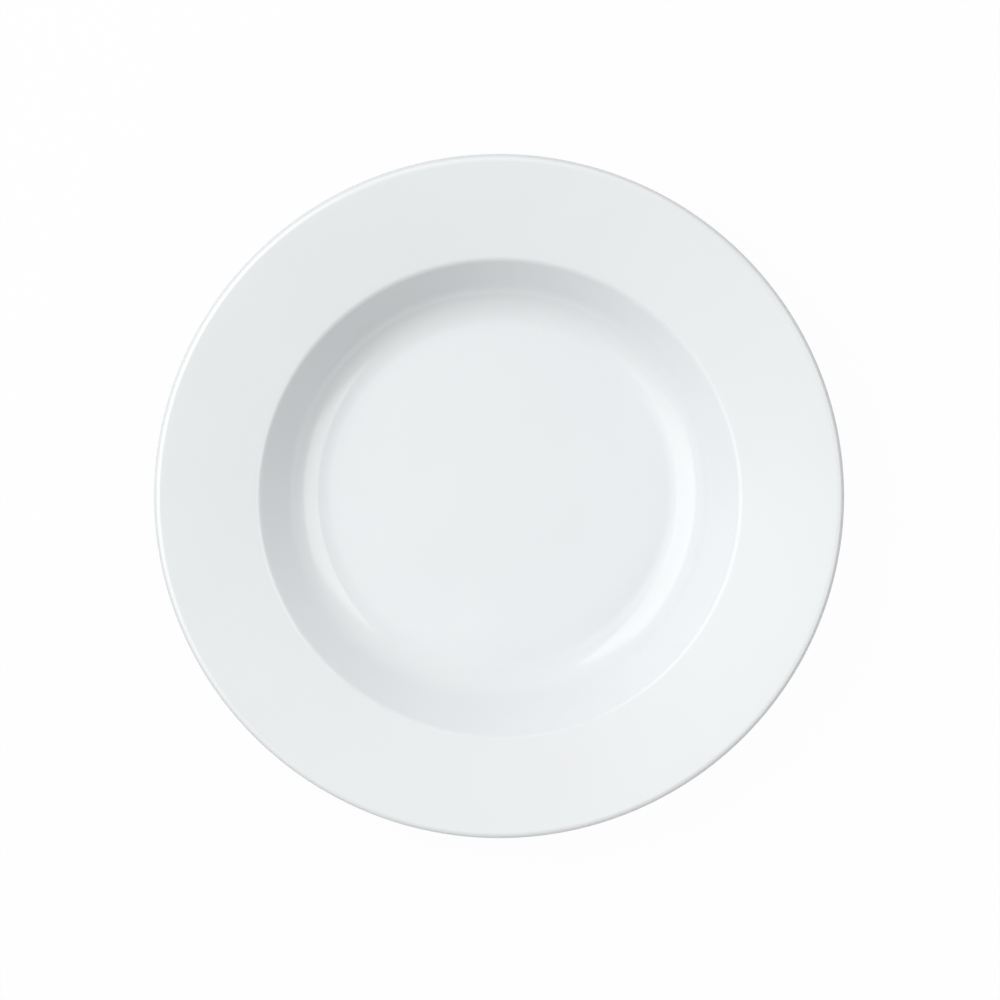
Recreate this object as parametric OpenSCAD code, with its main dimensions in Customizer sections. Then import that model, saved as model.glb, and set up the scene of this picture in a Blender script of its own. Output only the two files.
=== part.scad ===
// Rimmed soup plate of glazed porcelain.
// The plate is one turned section. The clay outline is the same outline as that of the finished
// ware, inset by the thickness of the glaze, so that clay and glaze meet face to face all over.
// In the section, x is the radius and y is the height above the table.

/* [Plate] */
// Diameter over the lip
plate_d = 240; // [220:1:270]
// Thickness of the finished ware, glaze included
plate_t = 4.5; // [3.5:0.1:6]
// Slope of the rim, in degrees from level
rim_slope = 9; // [4:0.5:16]

/* [Well] */
// Diameter of the well where the lines of the rim and the wall cross
well_d = 168; // [150:1:180]
// Depth of the floor below that crossing
well_depth = 21.7; // [18:0.1:28]
// Slope of the wall, in degrees from level
wall_slope = 58; // [50:1:64]
// Radius between the floor and the wall
floor_fillet_r = 18; // [14:0.5:28]
// Radius on the edge between the rim and the wall
mouth_r = 3; // [1:0.25:5]
// Radius under the rim, where it meets the outside of the wall
under_rim_r = 10; // [4:0.5:16]

/* [Foot ring] */
// Outer diameter of the foot ring at the table
foot_d = 120; // [100:1:130]
// Width of the foot ring at the table
foot_w = 4; // [3:0.1:6]
// Height of the glazed base above the table
foot_h = 4; // [3:0.1:6]
// Draft of both sides of the foot ring, in degrees from upright
foot_draft = 14; // [4:1:20]
// Radius on the two standing edges
foot_edge_r = 0.8; // [0.4:0.1:1.2]
// Radius where the foot ring grows out of the base
foot_root_r = 1.5; // [0.5:0.1:1.7]

/* [Glaze] */
// Thickness of the glaze
glaze_t = 0.3; // [0.15:0.05:0.5]
// Height at which the glaze is wiped off the foot ring
glaze_line = 1.25; // [1.2:0.05:1.3]

/* [Hidden] */
$fn = 180;

// Furthest that a facet of a round corner may lie inside its true arc
arc_sag = 0.01;

// Angles of the outward normals of the upper faces
rim_normal = 90 + rim_slope;
wall_normal = 90 + wall_slope;

// Straight down, towards the floor and the table
down = -90;

// Heights of the faces of the floor and radius of its flat part
floor_z = foot_h + plate_t;
wall_rise = well_depth - floor_fillet_r * (1 - cos(wall_slope));
floor_r = well_d / 2 - wall_rise / tan(wall_slope) - floor_fillet_r * sin(wall_slope);

// Radius of the belly, the round underside that follows the floor's fillet
belly_r = floor_fillet_r + plate_t;

// The lip is a full half round over the edge of the rim
lip_r = plate_t / 2;

// Radius of the middle of the standing band
foot_middle = (foot_d - foot_w) / 2;

// The two sides of the foot ring
outside = 1;
inside = -1;

// Unit vector at an angle
function dir(angle) = [cos(angle), sin(angle)];

// Step from the crossing of rim and wall to a point as far below both of them, for a depth of one
function inward() =
    let (rim = dir(rim_normal), wall = dir(wall_normal))
    -(rim + wall) / (1 + rim * wall);

// Centres of the arcs of the dish
mouth = [well_d / 2, floor_z + well_depth];
mouth_c = mouth + mouth_r * inward();
under_rim_c = mouth + (plate_t + under_rim_r) * inward();
fillet_c = [floor_r, floor_z + floor_fillet_r];
rim_middle = mouth - lip_r * dir(rim_normal);
lip_x = plate_d / 2 - lip_r;
lip_c = [lip_x, rim_middle.y + (lip_x - rim_middle.x) * tan(rim_slope)];

// Point of a side of the foot ring at a height and at an inset from the finished face
function foot_side(side, height, inset) =
    let (out = foot_w / 2 + (glaze_t - inset) / cos(foot_draft) + height * tan(foot_draft))
    [foot_middle + side * out, height];

// Centre of a standing edge
function edge_c(side) =
    let (in = foot_edge_r * (1 - sin(foot_draft)) / cos(foot_draft))
    [foot_middle + side * (foot_w / 2 - in), foot_edge_r];

// Centre of the arc between a side of the foot ring and the underside, which is flat inside
// the radius of the flat floor and follows the belly outside it
function root_c(side) =
    let (
        up = [side * sin(foot_draft), cos(foot_draft)],
        flat = foot_side(side, foot_h - foot_root_r, 0)
            + [side * foot_root_r / cos(foot_draft), 0],
        off = flat - fillet_c,
        reach = belly_r + foot_root_r,
        rise = -off * up - sqrt((off * up) ^ 2 - off * off + reach ^ 2)
    )
    off.x > 0 ? flat + rise * up : flat;

// Angle at which the belly meets the arc at a side of the foot ring
function root_angle(side) =
    let (off = root_c(side) - fillet_c)
    off.x > 0 ? atan2(off.y, off.x) : down;

// The section is an outline of round corners joined by straight lines. A corner is its centre, its
// radius on the finished ware, the angles at which its arc starts and ends, and its bulge. That is
// 1 for an outside corner, which an inset makes smaller, and -1 for an inside corner, which an
// inset makes larger.

// Corners from the floor over the lip and back to the outside of the foot ring
dish_corners = [
    [fillet_c, floor_fillet_r, down, down + wall_slope, -1],
    [mouth_c, mouth_r, wall_normal, rim_normal, 1],
    [lip_c, lip_r, rim_normal, rim_normal - 180, 1],
    [under_rim_c, under_rim_r, rim_normal, wall_normal, -1],
    [fillet_c, belly_r, down + wall_slope, root_angle(outside), 1],
    [root_c(outside), foot_root_r, root_angle(outside) + 180, 180 - foot_draft, -1]
];

// The two edges of the bare band on which the plate stands
standing_corners = [
    [edge_c(outside), foot_edge_r + glaze_t, -foot_draft, down, 1],
    [edge_c(inside), foot_edge_r + glaze_t, down, foot_draft - 180, 1]
];

// Corners of the base inside the foot ring
base_corners = [
    [root_c(inside), foot_root_r, foot_draft, root_angle(inside) + 180, -1],
    if (root_angle(inside) > down) [fillet_c, belly_r, root_angle(inside), down, 1]
];

// Points of a corner's arc at an inset from the finished face
function arc(corner, inset) =
    let (
        turn = corner[3] - corner[2],
        steps = ceil(abs(turn) / acos(1 - arc_sag / corner[1]) / 2),
        r = corner[1] - corner[4] * inset
    )
    [for (i = [0 : steps]) corner[0] + r * dir(corner[2] + turn * i / steps)];

// Points of a run of corners at an inset from the finished face
function run(corners, inset) = [for (corner = corners) each arc(corner, inset)];

function reversed(points) = [for (i = [len(points) - 1 : -1 : 0]) points[i]];

// Half section of the clay
function clay() = [
    [0, floor_z - glaze_t],
    each run(dish_corners, glaze_t),
    each run(standing_corners, glaze_t),
    each run(base_corners, glaze_t),
    [0, foot_h + glaze_t]
];

// Half section of the glaze from the middle of the floor to where the foot ring is wiped
function coat() = [
    [0, floor_z],
    each run(dish_corners, 0),
    foot_side(outside, glaze_line, 0),
    foot_side(outside, glaze_line, glaze_t),
    each reversed(run(dish_corners, glaze_t)),
    [0, floor_z - glaze_t]
];

// Half section of the glaze inside the foot ring
function base_coat() = [
    foot_side(inside, glaze_line, 0),
    each run(base_corners, 0),
    [0, foot_h],
    [0, foot_h + glaze_t],
    each reversed(run(base_corners, glaze_t)),
    foot_side(inside, glaze_line, glaze_t)
];

// Fired clay, bare on the band on which the plate stands
module porcelain_body() {
    color([0.91, 0.9, 0.87]) rotate_extrude() polygon(clay());
}

// Glaze over the face, the lip, the underside and the outside of the foot ring
module glaze_coat() {
    color([0.93, 0.94, 0.95]) rotate_extrude() polygon(coat());
}

// Glaze on the base and the inside of the foot ring
module base_glaze() {
    color([0.93, 0.94, 0.95]) rotate_extrude() polygon(base_coat());
}

porcelain_body();
glaze_coat();
base_glaze();
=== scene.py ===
"""Rimmed soup plate of glazed hard porcelain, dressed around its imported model.

The plate is one turned section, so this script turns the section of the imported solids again, with
finer rounds, a soft edge on the glaze and the small unevenness of fired ware. Two large soft boxes
show in the glaze, and two small lamps and a dim room shade the plate. Lengths are in metres and
angles in radians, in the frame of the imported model, where z points up and the table is at zero.
"""

import logging
import math
from collections.abc import Callable, Sequence
from dataclasses import dataclass
from enum import Enum

import bpy
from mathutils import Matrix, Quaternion, Vector


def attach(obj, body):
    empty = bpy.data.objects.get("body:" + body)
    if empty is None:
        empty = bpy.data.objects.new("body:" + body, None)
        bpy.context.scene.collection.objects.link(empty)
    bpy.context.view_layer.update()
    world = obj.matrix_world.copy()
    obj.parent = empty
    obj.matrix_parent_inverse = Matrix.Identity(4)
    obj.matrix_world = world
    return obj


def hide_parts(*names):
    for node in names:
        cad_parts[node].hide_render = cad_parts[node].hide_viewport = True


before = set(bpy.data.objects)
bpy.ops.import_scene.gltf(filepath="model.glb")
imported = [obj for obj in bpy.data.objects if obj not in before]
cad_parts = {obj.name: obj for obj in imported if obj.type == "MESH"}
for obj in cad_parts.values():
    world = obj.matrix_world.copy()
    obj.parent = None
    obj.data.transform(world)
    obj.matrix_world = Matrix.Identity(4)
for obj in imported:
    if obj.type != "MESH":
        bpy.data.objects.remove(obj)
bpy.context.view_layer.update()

LOG = logging.getLogger("soup_plate")

MM = 0.001
RIGHT_ANGLE = math.radians(90)
HALF_TURN = math.radians(180)
FULL_TURN = math.radians(360)

# Straight down, towards the floor of the well and the table
DOWN = -RIGHT_ANGLE

# The plate has no joints, so all of it rides on the one body
BODY = "root"

# Full value of a channel in a colour code
FULL_CHANNEL = 255
WHITE = "#FFFFFF"

# Factors that keep the level part of a place and drop its height
LEVEL_PART = (1.0, 1.0, 0.0)

# Middle of a side of a lamp's front, along which the lamp counts from 0 to 1
MIDDLE = 0.5

# An output of a node, or a plain value in its place
NodeValue = bpy.types.NodeSocket | float


class Side(Enum):
    """The two sides of the foot ring, as the sign of a step in radius."""

    OUTSIDE = 1
    INSIDE = -1


class Slot(Enum):
    """Material slots for the bare clay and the glaze."""

    BISQUE = "bisque_porcelain"
    GLAZE = "clear_glaze"


class LampRole(Enum):
    """What a lamp does for the plate: shade it, or show in its glaze."""

    SHADES = "shades"
    SHOWS = "shows"


class Change(Enum):
    """How a ramp goes from its first level to its second."""

    STRAIGHT = "LINEAR"
    SOFT = "SMOOTHSTEP"


class SocketKind(Enum):
    """Sockets of the colour mix node, whose names alone don't tell them apart."""

    FACTOR = "Factor_Float"
    FIRST = "A_Color"
    SECOND = "B_Color"
    RESULT = "Result_Color"


def linear(colour: str) -> tuple[float, float, float, float]:
    """Turns an sRGB colour into the linear one that a shader takes.

    Args:
        colour: The colour as it is seen on a screen, such as "#F0F1F2".

    Returns:
        Linear red, green and blue, and an alpha of one.
    """
    knee, foot_gain = 0.04045, 12.92
    offset, gain, power = 0.055, 1.055, 2.4
    channels = [value / FULL_CHANNEL for value in bytes.fromhex(colour.removeprefix("#"))]
    lit = [c / foot_gain if c <= knee else ((c + offset) / gain) ** power for c in channels]
    return (*lit, 1.0)


def socket(sockets: Sequence[bpy.types.NodeSocket], key: str) -> bpy.types.NodeSocket:
    """Finds a socket of a node.

    Args:
        sockets: The inputs or the outputs of the node.
        key: The socket's identifier, or else its name.

    Returns:
        The socket.
    """
    by_identifier = {s.identifier: s for s in sockets}
    return by_identifier.get(key) or sockets[key]


def add_node(
    tree: bpy.types.NodeTree,
    kind: str,
    settings: dict[str, object] | None = None,
    inputs: dict[str, object] | None = None,
) -> bpy.types.Node:
    """Adds a node with its settings and links.

    Args:
        tree: The node tree that the node goes into.
        kind: The type of node.
        settings: Values of the node's own properties, by name.
        inputs: For each input, by identifier or name, its value or the output that is linked to it.

    Returns:
        The new node.
    """
    node = tree.nodes.new(kind)
    for name, value in (settings or {}).items():
        setattr(node, name, value)
    for key, value in (inputs or {}).items():
        target = socket(node.inputs, key)
        if isinstance(value, bpy.types.NodeSocket):
            tree.links.new(value, target)
        else:
            target.default_value = value
    return node


def calculate(tree: bpy.types.NodeTree, operation: str, *values: NodeValue) -> bpy.types.NodeSocket:
    """Adds a calculation with numbers to a node tree.

    Args:
        tree: The node tree.
        operation: What is done, such as "MULTIPLY".
        values: The one or two values that it is done to.

    Returns:
        The result.
    """
    inputs = dict(zip(("Value", "Value_001"), values))
    return add_node(tree, "ShaderNodeMath", {"operation": operation}, inputs).outputs["Value"]


def vector_node(
    tree: bpy.types.NodeTree, operation: str, *vectors: bpy.types.NodeSocket | Sequence[float]
) -> bpy.types.Node:
    """Adds a calculation with vectors to a node tree.

    Args:
        tree: The node tree.
        operation: What is done, such as "LENGTH".
        vectors: The one or two vectors that it is done to.

    Returns:
        The node, whose output is called Value or Vector by what it gives.
    """
    inputs = dict(zip(("Vector", "Vector_001"), vectors))
    return add_node(tree, "ShaderNodeVectorMath", {"operation": operation}, inputs)


def ramp(
    tree: bpy.types.NodeTree,
    value: bpy.types.NodeSocket,
    span: tuple[float, float],
    levels: tuple[float, float] = (0.0, 1.0),
    change: Change = Change.SOFT,
) -> bpy.types.NodeSocket:
    """Turns a value into another that changes over a span and holds still outside it.

    Args:
        tree: The node tree.
        value: The value.
        span: Where the change starts and ends.
        levels: The result before the span and after it.
        change: How the result changes over the span.

    Returns:
        The result.
    """
    limits = {"From Min": span[0], "From Max": span[1], "To Min": levels[0], "To Max": levels[1]}
    inputs = {"Value": value, **limits}
    settings = {"interpolation_type": change.value}
    node = add_node(tree, "ShaderNodeMapRange", settings, inputs)
    return node.outputs["Result"]


def noise(
    tree: bpy.types.NodeTree, place: bpy.types.NodeSocket, spacing: float, detail: float
) -> bpy.types.NodeSocket:
    """Adds drifting noise.

    Args:
        tree: The node tree.
        place: Where it is looked up.
        spacing: How far apart its grains lie.
        detail: How many times finer grains are laid over it.

    Returns:
        The noise, from 0 to 1.
    """
    inputs = {"Vector": place, "Scale": 1 / spacing, "Detail": detail}
    return add_node(tree, "ShaderNodeTexNoise", inputs=inputs).outputs["Fac"]


def blend(
    tree: bpy.types.NodeTree,
    share: bpy.types.NodeSocket,
    first: bpy.types.NodeSocket | str,
    second: str,
) -> bpy.types.NodeSocket:
    """Blends two colours.

    Args:
        tree: The node tree.
        share: Share of the second colour.
        first: The first colour, as an sRGB one or as an output.
        second: The second colour, as an sRGB one.

    Returns:
        The blended colour.
    """
    start = linear(first) if isinstance(first, str) else first
    inputs = {
        SocketKind.FACTOR.value: share,
        SocketKind.FIRST.value: start,
        SocketKind.SECOND.value: linear(second),
    }
    node = add_node(tree, "ShaderNodeMix", {"data_type": "RGBA"}, inputs)
    return socket(node.outputs, SocketKind.RESULT.value)


def bump(
    tree: bpy.types.NodeTree, relief: bpy.types.NodeSocket, height: float
) -> bpy.types.NodeSocket:
    """Gives the normal of a surface with a relief.

    Args:
        tree: The node tree.
        relief: The relief, from 0 to 1.
        height: Its real height.

    Returns:
        The normal.
    """
    node = add_node(tree, "ShaderNodeBump", inputs={"Height": relief, "Distance": height})
    return node.outputs["Normal"]


def new_material(name: str) -> tuple[bpy.types.Material, bpy.types.Node]:
    """Makes an empty node material.

    Args:
        name: The material's name.

    Returns:
        The material and its output node.
    """
    material = bpy.data.materials.new(name)
    material.use_nodes = True
    material.node_tree.nodes.clear()
    return material, add_node(material.node_tree, "ShaderNodeOutputMaterial")


def direction(angle: float) -> Vector:
    """Gives the unit vector at an angle in the plane of the section."""
    return Vector((math.cos(angle), math.sin(angle)))


def dome_direction(azimuth: float, elevation: float) -> Vector:
    """Gives the unit vector towards a place on the dome of the room.

    Args:
        azimuth: Its direction, from x towards y.
        elevation: Its height above the horizon, as an angle.

    Returns:
        The unit vector.
    """
    level = math.cos(elevation)
    return Vector((level * math.cos(azimuth), level * math.sin(azimuth), math.sin(elevation)))


@dataclass(frozen=True)
class Round:
    """A round corner of the section, between two straight runs.

    Attributes:
        centre: Centre of the arc.
        radius: Radius on the finished ware.
        start: Angle at which the arc starts.
        end: Angle at which the arc ends.
        bulge: 1 for an outside corner, which an inset makes smaller, and -1 for an inside one.
    """

    centre: Vector
    radius: float
    start: float
    end: float
    bulge: int

    def points(self, inset: float, step: float) -> list[Vector]:
        """Gives the points of the arc.

        Args:
            inset: Distance into the ware from its finished face.
            step: Largest angle between two points.

        Returns:
            Points from the start of the arc to its end.
        """
        turn = self.end - self.start
        steps = math.ceil(abs(turn) / step)
        radius = self.radius - self.bulge * inset
        angles = [self.start + turn * i / steps for i in range(steps + 1)]
        return [self.centre + radius * direction(angle) for angle in angles]


@dataclass(frozen=True)
class PlateSection:
    """Half section of the plate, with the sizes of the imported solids.

    x is the radius and y is the height above the table. The clay has the outline of the finished
    ware, inset by the thickness of the glaze.

    Attributes:
        plate_d: Diameter over the lip.
        plate_t: Thickness of the finished ware, glaze included.
        rim_slope: Slope of the rim from level.
        well_d: Diameter of the well where the lines of the rim and the wall cross.
        well_depth: Depth of the floor below that crossing.
        wall_slope: Slope of the wall from level.
        floor_fillet_r: Radius between the floor and the wall.
        mouth_r: Radius on the edge between the rim and the wall.
        under_rim_r: Radius under the rim, where it meets the outside of the wall.
        foot_d: Outer diameter of the foot ring at the table.
        foot_w: Width of the foot ring at the table.
        foot_h: Height of the glazed base above the table.
        foot_draft: Draft of both sides of the foot ring from upright.
        foot_edge_r: Radius on the two standing edges.
        foot_root_r: Radius where the foot ring grows out of the base.
        glaze_t: Thickness of the glaze.
        glaze_line: Height at which the glaze is wiped off the foot ring.
        round_step: Largest turn between two points of a round.
        edge_steps: Number of steps over a right angle of the glaze's soft edge.
        ring_spacing: Largest distance between two points of a straight run.
    """

    plate_d: float = 240 * MM
    plate_t: float = 4.5 * MM
    rim_slope: float = math.radians(9)
    well_d: float = 168 * MM
    well_depth: float = 21.7 * MM
    wall_slope: float = math.radians(58)
    floor_fillet_r: float = 18 * MM
    mouth_r: float = 3 * MM
    under_rim_r: float = 10 * MM
    foot_d: float = 120 * MM
    foot_w: float = 4 * MM
    foot_h: float = 4 * MM
    foot_draft: float = math.radians(14)
    foot_edge_r: float = 0.8 * MM
    foot_root_r: float = 1.5 * MM
    glaze_t: float = 0.3 * MM
    glaze_line: float = 1.25 * MM
    round_step: float = math.radians(3)
    edge_steps: int = 5
    ring_spacing: float = 3 * MM

    @property
    def rim_normal(self) -> float:
        """Angle of the outward normal of the rim's face."""
        return RIGHT_ANGLE + self.rim_slope

    @property
    def wall_normal(self) -> float:
        """Angle of the outward normal of the well's wall."""
        return RIGHT_ANGLE + self.wall_slope

    @property
    def floor_z(self) -> float:
        """Height of the floor of the well."""
        return self.foot_h + self.plate_t

    @property
    def belly_r(self) -> float:
        """Radius of the round underside that follows the floor's fillet."""
        return self.floor_fillet_r + self.plate_t

    @property
    def lip_r(self) -> float:
        """Radius of the lip, a full half round over the edge of the rim."""
        return self.plate_t / 2

    @property
    def mouth(self) -> Vector:
        """Point where the lines of the rim and the wall cross."""
        return Vector((self.well_d / 2, self.floor_z + self.well_depth))

    @property
    def fillet_c(self) -> Vector:
        """Centre of the fillet between the floor and the wall."""
        wall_rise = self.well_depth - self.floor_fillet_r * (1 - math.cos(self.wall_slope))
        wall_run = wall_rise / math.tan(self.wall_slope)
        floor_r = self.well_d / 2 - wall_run - self.floor_fillet_r * math.sin(self.wall_slope)
        return Vector((floor_r, self.floor_z + self.floor_fillet_r))

    @property
    def lip_c(self) -> Vector:
        """Centre of the lip's half round."""
        middle = self.mouth - self.lip_r * direction(self.rim_normal)
        x = self.plate_d / 2 - self.lip_r
        return Vector((x, middle.y + (x - middle.x) * math.tan(self.rim_slope)))

    def inward(self) -> Vector:
        """Gives the step from the mouth to a point one unit below both the rim and the wall."""
        rim, wall = direction(self.rim_normal), direction(self.wall_normal)
        return -(rim + wall) / (1 + rim.dot(wall))

    def foot_side(self, side: Side, height: float, inset: float) -> Vector:
        """Gives a point on a side of the foot ring.

        Args:
            side: Which side of the ring.
            height: Height above the table.
            inset: Distance into the ware from its finished face.

        Returns:
            The point in the section.
        """
        middle = (self.foot_d - self.foot_w) / 2
        skin = (self.glaze_t - inset) / math.cos(self.foot_draft)
        out = self.foot_w / 2 + skin + height * math.tan(self.foot_draft)
        return Vector((middle + side.value * out, height))

    def edge_c(self, side: Side) -> Vector:
        """Gives the centre of one of the two standing edges of the foot ring."""
        middle = (self.foot_d - self.foot_w) / 2
        inset = self.foot_edge_r * (1 - math.sin(self.foot_draft)) / math.cos(self.foot_draft)
        return Vector((middle + side.value * (self.foot_w / 2 - inset), self.foot_edge_r))

    def root_c(self, side: Side) -> Vector:
        """Gives the centre of the round where a side of the foot ring grows out of the base.

        Args:
            side: Which side of the ring.

        Returns:
            The centre. The base is flat within the radius of the flat floor, and outside it the
            round touches the belly instead.
        """
        draft = self.foot_draft
        up = Vector((side.value * math.sin(draft), math.cos(draft)))
        flat = self.foot_side(side, self.foot_h - self.foot_root_r, 0)
        flat.x += side.value * self.foot_root_r / math.cos(draft)
        off = flat - self.fillet_c
        if off.x <= 0:
            return flat
        reach = self.belly_r + self.foot_root_r
        rise = -off.dot(up) - math.sqrt(off.dot(up) ** 2 - off.dot(off) + reach**2)
        return flat + rise * up

    def root_angle(self, side: Side) -> float:
        """Gives the angle at which the belly meets the round at a side of the foot ring."""
        off = self.root_c(side) - self.fillet_c
        return math.atan2(off.y, off.x) if off.x > 0 else DOWN

    def dish_rounds(self) -> list[Round]:
        """Gives the rounds from the floor over the lip and back to the outside of the foot ring."""
        mouth_c = self.mouth + self.mouth_r * self.inward()
        under_rim_c = self.mouth + (self.plate_t + self.under_rim_r) * self.inward()
        under_lip = self.rim_normal - HALF_TURN
        belly_top = DOWN + self.wall_slope
        belly_end = self.root_angle(Side.OUTSIDE)
        root = self.root_c(Side.OUTSIDE)
        foot_end = HALF_TURN - self.foot_draft
        return [
            Round(self.fillet_c, self.floor_fillet_r, DOWN, belly_top, -1),
            Round(mouth_c, self.mouth_r, self.wall_normal, self.rim_normal, 1),
            Round(self.lip_c, self.lip_r, self.rim_normal, under_lip, 1),
            Round(under_rim_c, self.under_rim_r, self.rim_normal, self.wall_normal, -1),
            Round(self.fillet_c, self.belly_r, belly_top, belly_end, 1),
            Round(root, self.foot_root_r, belly_end + HALF_TURN, foot_end, -1),
        ]

    def standing_rounds(self) -> list[Round]:
        """Gives the two edges of the bare band on which the plate stands."""
        radius = self.foot_edge_r + self.glaze_t
        outer, inner = self.edge_c(Side.OUTSIDE), self.edge_c(Side.INSIDE)
        return [
            Round(outer, radius, -self.foot_draft, DOWN, 1),
            Round(inner, radius, DOWN, self.foot_draft - HALF_TURN, 1),
        ]

    def base_rounds(self) -> list[Round]:
        """Gives the rounds of the base inside the foot ring."""
        start = self.root_angle(Side.INSIDE)
        root = self.root_c(Side.INSIDE)
        rounds = [Round(root, self.foot_root_r, self.foot_draft, start + HALF_TURN, -1)]
        if start > DOWN:
            rounds.append(Round(self.fillet_c, self.belly_r, start, DOWN, 1))
        return rounds

    def run(self, rounds: Sequence[Round], inset: float) -> list[Vector]:
        """Gives the points of a run of rounds.

        Args:
            rounds: The rounds, in order.
            inset: Distance into the ware from its finished face.

        Returns:
            The points, in order.
        """
        return [point for r in rounds for point in r.points(inset, self.round_step)]

    def ringed(self, outline: Sequence[Vector]) -> list[Vector]:
        """Adds points to long straight runs, so that smooth shading keeps them straight.

        Args:
            outline: Points of an outline.

        Returns:
            The same outline, with no two points further apart than the ring spacing.
        """
        ringed = [outline[0]]
        for start, end in zip(outline, outline[1:]):
            steps = max(1, math.ceil((end - start).length / self.ring_spacing))
            ringed += [start.lerp(end, i / steps) for i in range(1, steps + 1)]
        return ringed

    def clay(self, line: float) -> list[Vector]:
        """Gives the half section of the clay.

        Args:
            line: Height of the glaze line, on which the clay doesn't depend.

        Returns:
            The closed outline, which starts and ends on the axis.
        """
        return [
            Vector((0, self.floor_z - self.glaze_t)),
            *self.run(self.dish_rounds(), self.glaze_t),
            *self.run(self.standing_rounds(), self.glaze_t),
            *self.run(self.base_rounds(), self.glaze_t),
            Vector((0, self.foot_h + self.glaze_t)),
        ]

    def glaze_edge(self, side: Side, line: float) -> list[Vector]:
        """Gives the soft edge that the glaze draws itself into where it is wiped off.

        Args:
            side: Which side of the foot ring.
            line: Height of the edge above the table.

        Returns:
            Points of a half round, clockwise, from the side that faces outwards.
        """
        start = -self.foot_draft if side is Side.OUTSIDE else self.foot_draft
        middle = self.foot_side(side, line, self.glaze_t / 2)
        edge = Round(middle, self.glaze_t / 2, start, start - HALF_TURN, 1)
        return edge.points(0, RIGHT_ANGLE / self.edge_steps)

    def coat(self, line: float) -> list[Vector]:
        """Gives the half section of the glaze from the middle of the floor to the foot ring.

        Args:
            line: Height above the table at which the glaze is wiped off.

        Returns:
            The closed outline, which starts and ends on the axis.
        """
        face = [Vector((0, self.floor_z)), *self.run(self.dish_rounds(), 0)]
        hidden = self.run(self.dish_rounds(), self.glaze_t)[::-1]
        axis = Vector((0, self.floor_z - self.glaze_t))
        edge = self.glaze_edge(Side.OUTSIDE, line)
        return [*self.ringed(face), *edge, *hidden, axis]

    def base_coat(self, line: float) -> list[Vector]:
        """Gives the half section of the glaze on the base inside the foot ring.

        Args:
            line: Height above the table at which the glaze is wiped off.

        Returns:
            The closed outline, which starts and ends on the axis.
        """
        hidden = self.run(self.base_rounds(), self.glaze_t)[::-1]
        face = [*self.run(self.base_rounds(), 0), Vector((0, self.foot_h))]
        edge = self.glaze_edge(Side.INSIDE, line)
        axis = Vector((0, self.foot_h + self.glaze_t))
        return [axis, *hidden, *edge, *self.ringed(face)]


@dataclass(frozen=True)
class KilnMovement:
    """How far the rim moved out of true in the fire. The foot stood flat on its setter.

    Attributes:
        still_r: Radius inside which nothing moved.
        lip_r: Radius of the lip, which moved most.
        lift: How far the lip rose and sank.
        lift_turn: Direction in which the lip rose.
        oval: How far the lip went out of round.
        oval_turn: Direction in which the lip grew.
        line_wave: How far the wiped edge of the glaze wanders up and down.
        line_waves: Number of waves round the ring, and the turn of each, of that wandering.
        bend: Power with which the movement grows from the floor to the lip.
        lobes: Number of times that the lip rises, or grows, in one turn round the plate.
    """

    still_r: float
    lip_r: float
    lift: float = 0.12 * MM
    lift_turn: float = math.radians(35)
    oval: float = 0.08 * MM
    oval_turn: float = math.radians(-20)
    line_wave: float = 0.05 * MM
    line_waves: tuple[tuple[int, float], ...] = ((3, 0.4), (7, 2.1), (13, 4.0))
    bend: int = 2
    lobes: int = 2

    def moved(self, point: Vector, angle: float) -> tuple[float, float, float]:
        """Places a point of the section on the fired plate.

        Args:
            point: The point in the section.
            angle: Angle of the section round the plate.

        Returns:
            The point in space.
        """
        share = max(0.0, (point.x - self.still_r) / (self.lip_r - self.still_r)) ** self.bend
        radius = point.x + self.oval * share * math.cos(self.lobes * (angle - self.oval_turn))
        height = point.y + self.lift * share * math.cos(self.lobes * (angle - self.lift_turn))
        return radius * math.cos(angle), radius * math.sin(angle), height

    def line_shift(self, angle: float) -> float:
        """Gives how far the wiped edge of the glaze lies above its mean height at an angle."""
        return self.line_wave * sum(math.sin(n * angle + turn) for n, turn in self.line_waves)


@dataclass(frozen=True)
class Turner:
    """Turns half sections into closed meshes.

    Attributes:
        section: The plate's section.
        movement: What firing did to it.
        segments: Number of steps round the plate.
    """

    section: PlateSection
    movement: KilnMovement
    segments: int = 240

    def piece(self, name: str, outline: Callable[[float], list[Vector]]) -> bpy.types.Object:
        """Turns an outline that starts and ends on the axis into a smooth closed piece.

        Args:
            name: Name of the piece.
            outline: Gives the outline for a height of the glaze line.

        Returns:
            The new object, in the scene.
        """
        verts: list[tuple[float, float, float]] = []
        rows: list[int] = []
        for step in range(self.segments):
            angle = FULL_TURN * step / self.segments
            line = self.section.glaze_line + self.movement.line_shift(angle)
            start, *ring, end = outline(line)
            rows.append(len(verts))
            verts += [self.movement.moved(point, angle) for point in ring]
        top, bottom = len(verts), len(verts) + 1
        verts += [(0.0, 0.0, start.y), (0.0, 0.0, end.y)]
        last = len(ring) - 1
        faces: list[tuple[int, ...]] = []
        for row, following in zip(rows, rows[1:] + rows[:1]):
            faces.append((top, row, following))
            faces += [
                (row + i, row + i + 1, following + i + 1, following + i) for i in range(last)
            ]
            faces.append((row + last, bottom, following + last))
        mesh = bpy.data.meshes.new(name)
        mesh.from_pydata(verts, [], faces)
        mesh.validate()
        mesh.shade_smooth()
        piece = bpy.data.objects.new(name, mesh)
        bpy.context.scene.collection.objects.link(piece)
        return piece


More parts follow.
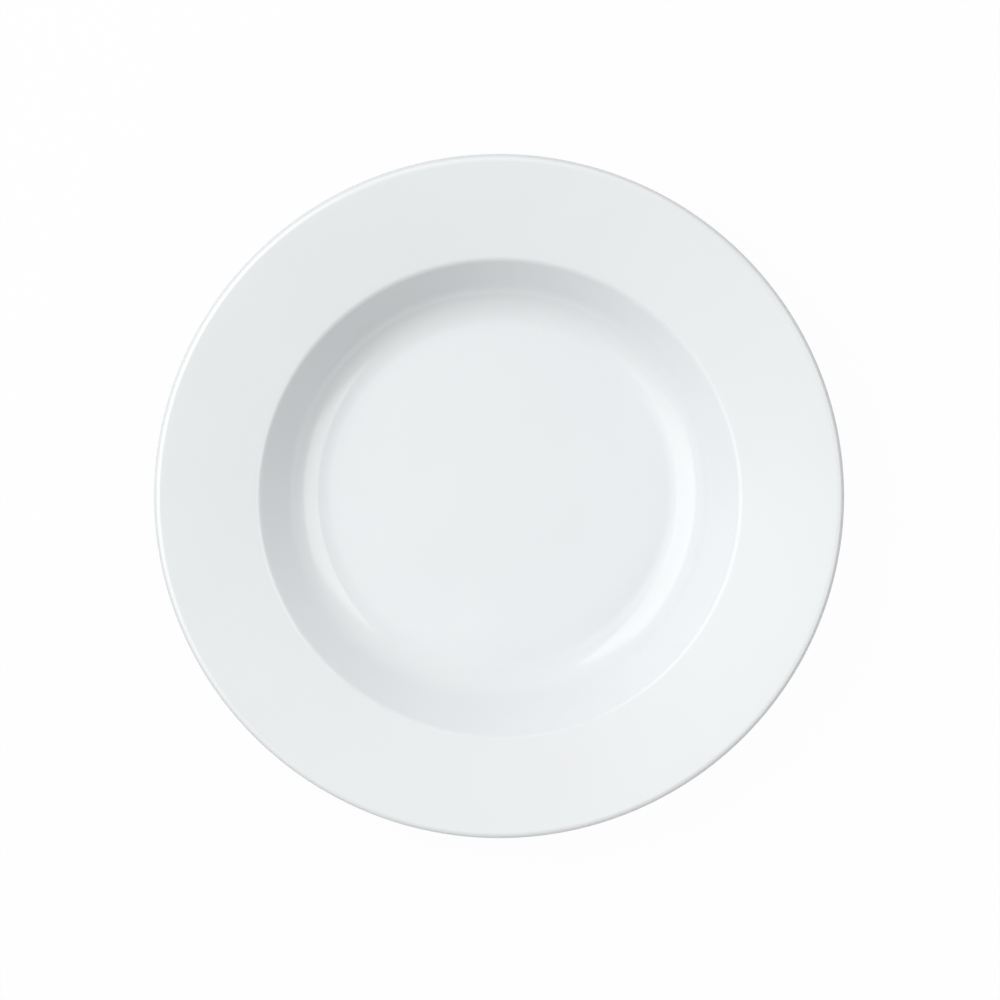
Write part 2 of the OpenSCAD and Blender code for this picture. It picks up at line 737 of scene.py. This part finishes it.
@dataclass(frozen=True)
class GlazedHardPorcelain:
    """Hard porcelain under a clear feldspar glaze, fired to a glassy skin.

    The eye sees a white body through glass: even white, a trace cooler where the glaze lies
    thicker, with clear sharp reflections that a faint orange peel makes slightly soft. Molten
    glaze draws back from the outermost edge of the lip, and a thin greyer line is painted there,
    partly for that thinner glaze and partly as painted shade for the darker surroundings that the
    rounded edge reflects.

    Attributes:
        edge_r: Radius of the outermost edge of the lip.
        thin: Colour where the glaze lies thinner on a flat face.
        thick: Colour where it lies thicker.
        bared_edge_and_shade: Colour of the outermost edge, partly thinner glaze and partly painted
            shade.
        edge_shade_start: Distance from the edge at which the thinning and the painted shade start.
        edge_shade_end: Distance from the edge at which the glaze is thinnest and the shade full.
        ior: Index of refraction of the glaze.
        roughness: Roughness of its skin.
        cloud_spacing: Spacing of the drifts in thickness.
        cloud_detail: Number of finer drifts laid over them.
        peel_spacing: Spacing of the waves of the orange peel.
        peel_detail: Number of finer waves laid over them.
        peel_height: Height of those waves.
    """

    edge_r: float
    thin: str = "#E7EAEB"
    thick: str = "#E4E6E8"
    bared_edge_and_shade: str = "#D6D8D9"
    edge_shade_start: float = 1.5 * MM
    edge_shade_end: float = 0.5 * MM
    ior: float = 1.55
    roughness: float = 0.025
    cloud_spacing: float = 35 * MM
    cloud_detail: float = 1.0
    peel_spacing: float = 3 * MM
    peel_detail: float = 0.0
    peel_height: float = 0.0015 * MM

    def material(self) -> bpy.types.Material:
        """Builds the material from drifting glaze thickness and orange peel.

        Returns:
            The material.
        """
        material, output = new_material("glazed_hard_porcelain")
        tree = material.node_tree
        place = add_node(tree, "ShaderNodeTexCoord").outputs["Object"]
        clouds = noise(tree, place, self.cloud_spacing, self.cloud_detail)
        white = blend(tree, clouds, self.thin, self.thick)
        level = vector_node(tree, "MULTIPLY", place, LEVEL_PART).outputs["Vector"]
        reach = vector_node(tree, "LENGTH", level).outputs["Value"]
        # Painted shade: a greyer band on the lip's outermost edge, partly thinner glaze and partly
        # shade for the darker surroundings that the rounded edge reflects.
        edge_thinning_and_shade = ramp(tree, reach, (self.edge_r - self.edge_shade_start, self.edge_r - self.edge_shade_end))
        peel = noise(tree, place, self.peel_spacing, self.peel_detail)
        shader = add_node(
            tree,
            "ShaderNodeBsdfPrincipled",
            inputs={
                "Base Color": blend(tree, edge_thinning_and_shade, white, self.bared_edge_and_shade),
                "Roughness": self.roughness,
                "IOR": self.ior,
                "Normal": bump(tree, peel, self.peel_height),
            },
        )
        tree.links.new(shader.outputs["BSDF"], output.inputs["Surface"])
        return material


@dataclass(frozen=True)
class UnglazedPorcelain:
    """Bare fired porcelain where the glaze was wiped off and the foot rubbed smooth.

    The eye sees a dense matt band, warmer and duller than the glaze, with a fine sandy grain and
    faint grey marks where it has slid on tables. The real grain is too fine to show, so it is
    made about four times as coarse.

    Attributes:
        clean: Colour of the bare clay.
        rubbed: Colour of the marks on it.
        ior: Index of refraction of the clay.
        roughness: Roughness of its face.
        mark_spacing: Spacing of the marks.
        mark_detail: Number of finer marks laid over them.
        mark_span: Levels of the marks' noise at which a mark starts and is full.
        grain_spacing: Spacing of the sandy grain.
        grain_detail: Number of finer grains laid over it.
        grain_height: Height of the grain.
    """

    clean: str = "#E9E6DF"
    rubbed: str = "#D5D2CB"
    ior: float = 1.5
    roughness: float = 0.6
    mark_spacing: float = 6 * MM
    mark_detail: float = 4.0
    mark_span: tuple[float, float] = (0.55, 0.75)
    grain_spacing: float = 0.4 * MM
    grain_detail: float = 2.0
    grain_height: float = 0.02 * MM

    def material(self) -> bpy.types.Material:
        """Builds the material from rubbed marks and sandy grain.

        Returns:
            The material.
        """
        material, output = new_material("unglazed_porcelain")
        tree = material.node_tree
        place = add_node(tree, "ShaderNodeTexCoord").outputs["Object"]
        marks = noise(tree, place, self.mark_spacing, self.mark_detail)
        share = ramp(tree, marks, self.mark_span, change=Change.STRAIGHT)
        grain = noise(tree, place, self.grain_spacing, self.grain_detail)
        shader = add_node(
            tree,
            "ShaderNodeBsdfPrincipled",
            inputs={
                "Base Color": blend(tree, share, self.clean, self.rubbed),
                "Roughness": self.roughness,
                "IOR": self.ior,
                "Normal": bump(tree, grain, self.grain_height),
            },
        )
        tree.links.new(shader.outputs["BSDF"], output.inputs["Surface"])
        return material


@dataclass(frozen=True)
class MattBoard:
    """Matt white laminate board of a photographer's table.

    The eye and the glaze see it as nearly plain white, and less so near the foot ring, so that the
    plate's own soft shadow still shows there; the fall of the white towards the foot also darkens
    the board there by itself, as painted shade. The light that it throws back on the plate is that
    of the board itself. Its underside lets the camera through, so that the plate can be seen from
    below too.

    Attributes:
        face: Colour of the board.
        mottle: Colour of the faint drifts in it.
        mottle_spacing: Spacing of the drifts.
        mottle_detail: Number of finer drifts laid over them.
        roughness: Roughness of the board.
        ior: Index of refraction of its laminate.
        white: Brightness of the plain white, where 1 is the white of the picture.
        white_near: Share of plain white in what is seen under the plate, where less white paints
            shade.
        white_share: Share of plain white in what is seen around the plate.
        near_r: Radius out to which the first share holds.
        far_r: Radius from which the second share holds.
    """

    face: str = "#DCDCDC"
    mottle: str = "#D8D8D8"
    mottle_spacing: float = 80 * MM
    mottle_detail: float = 2.0
    roughness: float = 0.7
    ior: float = 1.45
    white: float = 1.0
    white_near: float = 0.3
    white_share: float = 0.97
    near_r: float = 50 * MM
    far_r: float = 121 * MM

    def material(self) -> bpy.types.Material:
        """Builds the material.

        Returns:
            The material.
        """
        material, output = new_material("matt_board")
        tree = material.node_tree
        place = add_node(tree, "ShaderNodeTexCoord").outputs["Object"]
        mottle = noise(tree, place, self.mottle_spacing, self.mottle_detail)
        board = add_node(
            tree,
            "ShaderNodeBsdfPrincipled",
            inputs={
                "Base Color": blend(tree, mottle, self.face, self.mottle),
                "Roughness": self.roughness,
                "IOR": self.ior,
            },
        )
        white = add_node(tree, "ShaderNodeEmission", inputs={"Strength": self.white})
        # Painted shade: less plain white towards the foot ring darkens the board under and around
        # the plate by its distance from the middle, on top of the plate's real shadow there.
        reach = vector_node(tree, "LENGTH", place).outputs["Value"]
        levels = (self.white_near, self.white_share)
        whiteness_and_foot_shade = ramp(tree, reach, (self.near_r, self.far_r), levels)
        path = add_node(tree, "ShaderNodeLightPath")
        camera, glossy, through = (
            path.outputs[f"Is {ray} Ray"] for ray in ("Camera", "Glossy", "Transmission")
        )
        seen = calculate(tree, "MAXIMUM", calculate(tree, "MAXIMUM", camera, glossy), through)
        top = add_node(
            tree,
            "ShaderNodeMixShader",
            inputs={
                "Fac": calculate(tree, "MULTIPLY", seen, whiteness_and_foot_shade),
                "Shader": board.outputs["BSDF"],
                "Shader_001": white.outputs["Emission"],
            },
        )
        both = add_node(
            tree,
            "ShaderNodeMixShader",
            inputs={
                "Fac": add_node(tree, "ShaderNodeNewGeometry").outputs["Backfacing"],
                "Shader": top.outputs["Shader"],
                "Shader_001": add_node(tree, "ShaderNodeBsdfTransparent").outputs["BSDF"],
            },
        )
        tree.links.new(both.outputs["Shader"], output.inputs["Surface"])
        return material


@dataclass(frozen=True)
class Plate:
    """The plate's clay body and the two skins of glaze on it.

    Attributes:
        section: The plate's section.
        turner: What turns it into pieces.
    """

    section: PlateSection
    turner: Turner

    def dress(
        self, piece: bpy.types.Object, node: str, material: bpy.types.Material
    ) -> None:
        """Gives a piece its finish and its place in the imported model.

        Args:
            piece: The piece.
            node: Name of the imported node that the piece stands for.
            material: The finish.
        """
        piece.data.materials.append(material)
        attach(piece, BODY)
        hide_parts(node)
        LOG.info("%s: %d faces", piece.name, len(piece.data.polygons))

    def body(self, finish: UnglazedPorcelain) -> None:
        """Builds the clay body, bare only on its standing band.

        Args:
            finish: The finish of the bare clay.
        """
        piece = self.turner.piece("fired_body", self.section.clay)
        self.dress(piece, "porcelain_body", finish.material())

    def glaze(self, finish: GlazedHardPorcelain) -> None:
        """Builds the two skins of glaze, parted by the wiped foot ring.

        Args:
            finish: The finish of both skins.
        """
        material = finish.material()
        face = self.turner.piece("face_and_back_glaze", self.section.coat)
        self.dress(face, "glaze_coat", material)
        base = self.turner.piece("base_glaze_skin", self.section.base_coat)
        self.dress(base, "base_glaze", material)


@dataclass(frozen=True)
class SoftBox:
    """A rectangular soft box, which shines to one side only.

    Attributes:
        name: The lamp's name.
        centre: Middle of its front.
        aim: Direction in which it faces.
        width: Its long side, which is level before it is rolled.
        height: Its short side.
        radiance: Brightness of its front, where 1 is the white of the picture.
        role: What it does for the plate.
        roll: Turn about the direction in which it faces.
        end_share: Brightness at the two short ends, as a share of that of the middle. With a share
            of one the front is even.
        fade_share: Share of the width over which each end falls off to that brightness.
    """

    name: str
    centre: tuple[float, float, float]
    aim: tuple[float, float, float]
    width: float
    height: float
    radiance: float
    role: LampRole
    roll: float = 0.0
    end_share: float = 1.0
    fade_share: float = 0.22

    @staticmethod
    def aimed_at_plate(
        name: str,
        azimuth: float,
        elevation: float,
        distance: float,
        side: float,
        radiance: float,
        role: LampRole,
    ) -> "SoftBox":
        """Makes a square soft box that faces the plate.

        Args:
            name: The lamp's name.
            azimuth: Direction from the plate to the lamp, from x towards y.
            elevation: Its height above the horizon, as an angle.
            distance: Its distance from the plate.
            side: Length of each of its sides.
            radiance: Brightness of its front.
            role: What it does for the plate.

        Returns:
            The soft box.
        """
        away = dome_direction(azimuth, elevation)
        centre, aim = tuple(distance * away), tuple(-away)
        return SoftBox(name, centre, aim, side, side, radiance, role)

    def fade(self, lamp: bpy.types.AreaLight) -> None:
        """Darkens the lamp towards its two short ends, which its tubes don't quite reach.

        Args:
            lamp: The lamp.
        """
        lamp.use_nodes = True
        tree = lamp.node_tree
        tree.nodes.clear()
        across = add_node(tree, "ShaderNodeNewGeometry").outputs["Parametric"]
        along = add_node(tree, "ShaderNodeSeparateXYZ", inputs={"Vector": across}).outputs["X"]
        off = calculate(tree, "ABSOLUTE", calculate(tree, "SUBTRACT", along, MIDDLE))
        bright = ramp(tree, off, (MIDDLE - self.fade_share, MIDDLE), (1.0, self.end_share))
        glow = add_node(tree, "ShaderNodeEmission", inputs={"Strength": bright})
        add_node(tree, "ShaderNodeOutputLight", inputs={"Surface": glow.outputs["Emission"]})

    def hang(self) -> None:
        """Adds the lamp to the scene. A lamp's power spreads over its area and a half space."""
        lamp = bpy.data.lights.new(self.name, "AREA")
        lamp.shape = "RECTANGLE"
        lamp.size, lamp.size_y = self.width, self.height
        lamp.energy = self.radiance * math.pi * self.width * self.height
        self.fade(lamp)
        rig = bpy.data.objects.new(self.name, lamp)
        rig.location = self.centre
        rig.rotation_mode = "QUATERNION"
        aim = Vector(self.aim)
        rig.rotation_quaternion = Quaternion(aim, self.roll) @ aim.to_track_quat("-Z", "Y")
        rig.visible_glossy = self.role is LampRole.SHOWS
        rig.visible_diffuse = self.role is LampRole.SHADES
        bpy.context.scene.collection.objects.link(rig)
        LOG.info("%s: %.0f x %.0f mm", self.name, self.width / MM, self.height / MM)


@dataclass(frozen=True)
class Glow:
    """A wide soft bright region of the room, such as a wall with windows.

    Attributes:
        azimuth: Direction of its middle, from x towards y.
        elevation: Height of its middle above the horizon, as an angle.
        sharpness: Power of the cosine with which it fades away from its middle.
        radiance: Brightness of its middle, where 1 is the white of the picture.
    """

    azimuth: float
    elevation: float
    sharpness: float
    radiance: float

    def brightness(
        self, tree: bpy.types.NodeTree, direction_seen: bpy.types.NodeSocket
    ) -> bpy.types.NodeSocket:
        """Adds the nodes of the region, which fades with a power of the cosine from its middle.

        Args:
            tree: The world's nodes.
            direction_seen: Direction in which the room is seen.

        Returns:
            The brightness in that direction.
        """
        middle = tuple(dome_direction(self.azimuth, self.elevation))
        cosine = vector_node(tree, "DOT_PRODUCT", direction_seen, middle).outputs["Value"]
        facing = calculate(tree, "MAXIMUM", cosine, 0.0)
        return calculate(
            tree, "MULTIPLY", calculate(tree, "POWER", facing, self.sharpness), self.radiance
        )


@dataclass(frozen=True)
class Studio:
    """The table, the lamps and the dim dome of the room.

    Attributes:
        table_size: Side of the square table top, which reaches far past the picture.
        table_gap: How far the table lies below the plate, so that the two faces don't touch.
        dome: Even brightness of the room, where 1 is the white of the picture.
        glows: Brighter regions of the room.
    """

    table_size: float = 40.0
    table_gap: float = 0.02 * MM
    dome: float = 0.06
    glows: tuple[Glow, ...] = (
        Glow(azimuth=math.radians(180), elevation=math.radians(30), sharpness=2, radiance=1.165),
        Glow(azimuth=math.radians(45), elevation=math.radians(30), sharpness=2, radiance=0.89),
        Glow(azimuth=math.radians(194), elevation=math.radians(78), sharpness=60, radiance=1.22),
    )

    def table(self, finish: MattBoard) -> None:
        """Lays the table under the plate.

        Args:
            finish: The finish of its top.
        """
        half = self.table_size / 2
        corners = [(-half, -half), (half, -half), (half, half), (-half, half)]
        mesh = bpy.data.meshes.new("table_top")
        mesh.from_pydata([(x, y, -self.table_gap) for x, y in corners], [], [(0, 1, 2, 3)])
        mesh.materials.append(finish.material())
        top = bpy.data.objects.new("table_top", mesh)
        bpy.context.scene.collection.objects.link(top)
        LOG.info("table_top: %.0f m square", self.table_size)

    def room(self) -> None:
        """Surrounds the plate with the room, an even dome and the glows on it."""
        world = bpy.data.worlds.new("room")
        world.use_nodes = True
        tree = world.node_tree
        tree.nodes.clear()
        seen = add_node(tree, "ShaderNodeTexCoord").outputs["Generated"]
        total: NodeValue = self.dome
        for glow in self.glows:
            total = calculate(tree, "ADD", total, glow.brightness(tree, seen))
        look = {"Color": linear(WHITE), "Strength": total}
        sky = add_node(tree, "ShaderNodeBackground", inputs=look)
        add_node(tree, "ShaderNodeOutputWorld", inputs={"Surface": sky.outputs["Background"]})
        bpy.context.scene.world = world
        LOG.info("room: dome of %.2f and %d glows", self.dome, len(self.glows))

    def lamps(self) -> None:
        """Hangs two soft boxes that show in the glaze and two lamps that shade the plate."""
        left = SoftBox(
            name="left_soft_box",
            centre=(-556 * MM, 234 * MM, 724 * MM),
            aim=(0.5983, 0.2951, -0.7449),
            width=1332 * MM,
            height=684 * MM,
            radiance=1.57,
            role=LampRole.SHOWS,
            roll=math.radians(16.6),
            end_share=0.3,
        )
        right = SoftBox(
            name="right_soft_box",
            centre=(586 * MM, -103 * MM, 676 * MM),
            aim=(-0.4515, 0.0155, -0.8921),
            width=890 * MM,
            height=588 * MM,
            radiance=1.65,
            role=LampRole.SHOWS,
            roll=math.radians(1.9),
            end_share=0.3,
        )
        key = SoftBox.aimed_at_plate(
            name="key_lamp",
            azimuth=math.radians(141),
            elevation=math.radians(54),
            distance=1.0,
            side=0.3,
            radiance=12.8,
            role=LampRole.SHADES,
        )
        fill = SoftBox.aimed_at_plate(
            name="fill_lamp",
            azimuth=math.radians(300),
            elevation=math.radians(35),
            distance=1.0,
            side=0.3,
            radiance=4.9,
            role=LampRole.SHADES,
        )
        for box in (left, right, key, fill):
            box.hang()


@dataclass(frozen=True)
class PhotoCamera:
    """The camera, almost straight above the plate and tipped a little from the far side.

    Attributes:
        distance: Distance from the point that it looks at.
        tilt: How far it stands off the vertical, as an angle.
        target: The point that it looks at.
        lens: Focal length, in millimetres.
        sensor: Width of the sensor, in millimetres.
    """

    distance: float = 700 * MM
    tilt: float = math.radians(7)
    target: tuple[float, float, float] = (0.31 * MM, 1.08 * MM, 33.27 * MM)
    lens: float = 72.4
    sensor: float = 36.0

    def place(self) -> None:
        """Adds the camera and makes it the scene's own."""
        lens = bpy.data.cameras.new("photo_camera")
        lens.lens, lens.sensor_width = self.lens, self.sensor
        camera = bpy.data.objects.new("photo_camera", lens)
        back = Vector((0.0, math.sin(self.tilt), math.cos(self.tilt)))
        camera.location = Vector(self.target) + self.distance * back
        camera.rotation_euler = (-self.tilt, 0.0, 0.0)
        bpy.context.scene.collection.objects.link(camera)
        bpy.context.scene.camera = camera
        LOG.info("photo_camera: %.0f mm away", self.distance / MM)


def main() -> None:
    """Builds the plate, the studio around it and the camera."""
    logging.basicConfig(level=logging.INFO, format="%(message)s")
    bpy.context.scene.view_settings.view_transform = "Standard"
    section = PlateSection()
    movement = KilnMovement(still_r=section.fillet_c.x, lip_r=section.plate_d / 2)
    plate = Plate(section, Turner(section, movement))
    plate.body(UnglazedPorcelain())
    plate.glaze(GlazedHardPorcelain(edge_r=section.plate_d / 2))
    studio = Studio()
    studio.table(MattBoard())
    studio.room()
    studio.lamps()
    PhotoCamera().place()


if __name__ == "__main__":
    main()
